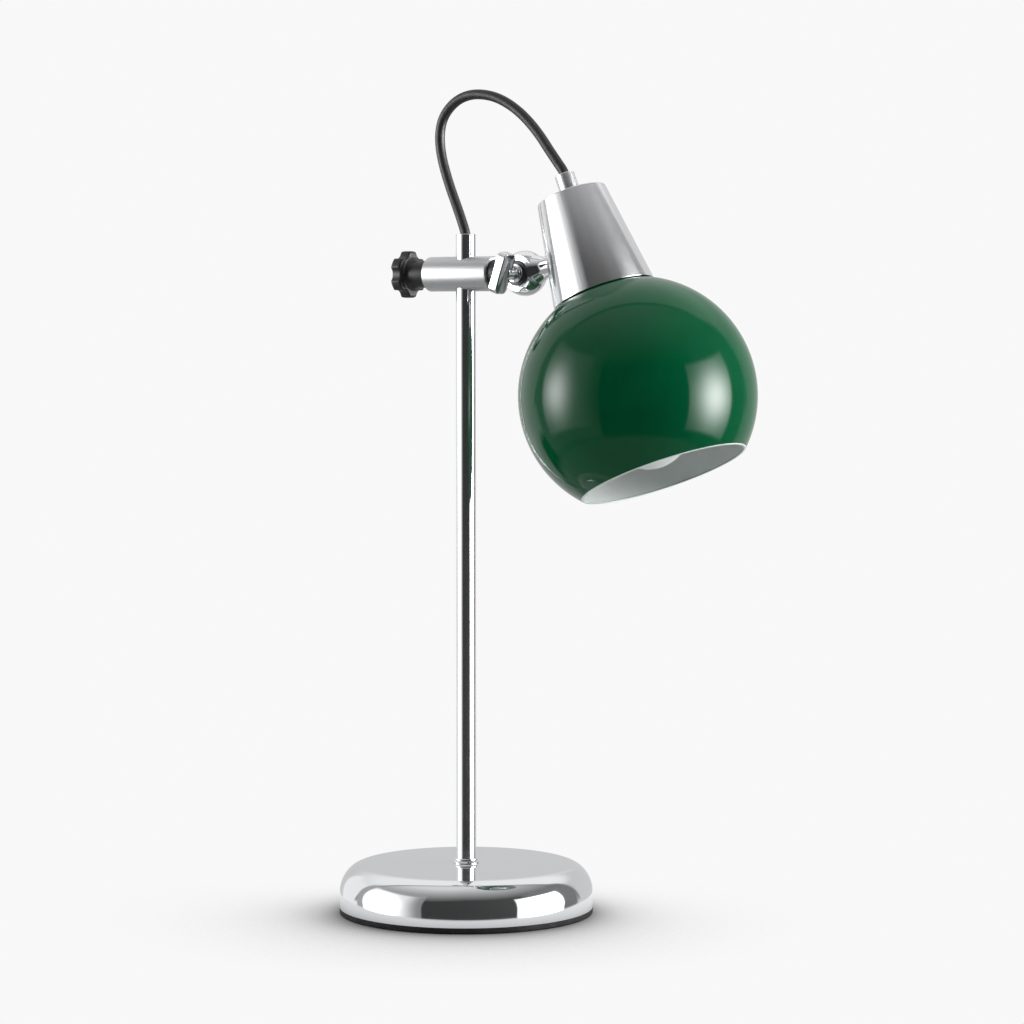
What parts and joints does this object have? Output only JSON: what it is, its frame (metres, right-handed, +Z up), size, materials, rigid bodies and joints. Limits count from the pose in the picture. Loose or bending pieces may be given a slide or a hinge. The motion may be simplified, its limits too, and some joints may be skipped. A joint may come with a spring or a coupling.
{
  "type": "desk lamp",
  "caption": "Desk lamp with a round weighted base, chrome column, sliding arm clamp, ball knuckle and a globe shade under a conical cap.",
  "frame": {"origin": "middle of the underside of the base, on the table, on the axis of the column", "axes": "+Z up along the column, +X along the arm towards the lamp head, +Y to the left of the arm"},
  "size_m": [0.274, 0.1546, 0.499],
  "materials": {
    "chrome": "mirror-polished chrome plating",
    "satin_metal": "fine turned satin plating",
    "zinc_steel": "dull zinc-plated steel",
    "cast_iron": "raw casting with dark paint",
    "rubber": "matt black rubber",
    "black_plastic": "moulded black plastic, slight sheen",
    "cord_black": "black flexible cord sheath",
    "white_plastic": "white terminal plastic",
    "ceramic": "glazed white insulator",
    "brass": "bare turned brass",
    "copper_lead": "insulated lead",
    "fibre": "vulcanised fibre",
    "green_enamel": "deep green gloss enamel outside, satin white inside",
    "bulb_glass": "frosted white glass",
    "bulb_metal": "stamped screw cap"
  },
  "bodies": {
    "stand": {"foot_mat": "rubber", "base_shell": "chrome", "base_weight": "cast_iron", "base_plate": "zinc_steel", "plate_screws": "zinc_steel", "inlet_grommet": "rubber", "terminal_block": "white_plastic", "terminal_screws": "brass", "cord_strap": "white_plastic", "strap_screws": "zinc_steel", "column": "chrome", "column_collar": "chrome", "column_washer": "zinc_steel", "column_nut": "zinc_steel", "column_cord": "cord_black"},
    "mouth_bush": {"column_bush": "black_plastic", "cord_rise": "cord_black"},
    "clamp": {"clamp_sleeve": "satin_metal", "set_screw": "zinc_steel", "cord_middle": "cord_black"},
    "pad": {"clamp_pad": "brass"},
    "knob": {"clamp_screw": "zinc_steel", "clamp_knob": "black_plastic"},
    "swivel": {"slip_washer": "rubber", "knuckle_rear": "chrome", "fibre_disc": "fibre"},
    "head": {"cord_drop": "cord_black", "knuckle_front": "chrome", "saddle_washer": "zinc_steel", "stem_screw": "zinc_steel", "lamp_cap": "satin_metal", "cap_neck": "satin_metal", "neck_bush": "black_plastic", "cap_pipe": "brass", "head_cord": "cord_black", "holder_dome": "black_plastic", "holder_body": "black_plastic", "holder_core": "ceramic", "screw_shell": "brass", "lead_wires": "copper_lead", "shade_ring": "black_plastic", "shade": "green_enamel", "bulb_glass": "bulb_glass", "bulb_cap": "bulb_metal"},
    "thumb_seat": {"thumb_washer": "black_plastic"},
    "thumb": {"thumb_screw": "chrome"}
  },
  "joints": [
    {"name": "arm_swivel", "type": "hinge", "parent": "stand", "child": "mouth_bush", "pos_m": [0, 0, 0.3885], "axis": [0, 0, 1], "range_deg": [-170, 170]},
    {"name": "arm_slide", "type": "slide", "parent": "mouth_bush", "child": "clamp", "axis": [0, 0, 1], "range_m": [-0.08, 0.01], "deforming": ["cord_rise"]},
    {"name": "pad_press", "type": "slide", "parent": "clamp", "child": "pad", "axis": [-1, 0, 0], "range_m": [0, 0.0016]},
    {"name": "knob_turn", "type": "hinge", "parent": "pad", "child": "knob", "pos_m": [-0.04, 0, 0.3885], "axis": [-1, 0, 0], "range_deg": [0, 540]},
    {"name": "arm_roll", "type": "hinge", "parent": "clamp", "child": "swivel", "pos_m": [0.0215, 0, 0.3885], "axis": [1, 0, 0], "range_deg": [-45, 45], "deforming": ["cord_middle"]},
    {"name": "head_tilt", "type": "hinge", "parent": "swivel", "child": "head", "pos_m": [0.0441, 0, 0.3885], "axis": [0, 1, 0], "range_deg": [-45, 28], "deforming": ["cord_drop"]},
    {"name": "thumb_travel", "type": "slide", "parent": "head", "child": "thumb_seat", "axis": [0, -1, 0], "range_m": [0, 0.0011]},
    {"name": "thumb_turn", "type": "hinge", "parent": "thumb_seat", "child": "thumb", "pos_m": [0.0441, -0.0223, 0.3885], "axis": [0, -1, 0], "range_deg": [0, 360]}
  ],
  "couplings": [
    {"joint": "pad_press", "follows": "knob_turn", "m_per_rad": 0.00015915},
    {"joint": "thumb_travel", "follows": "thumb_turn", "m_per_rad": 0.00015915}
  ]
}
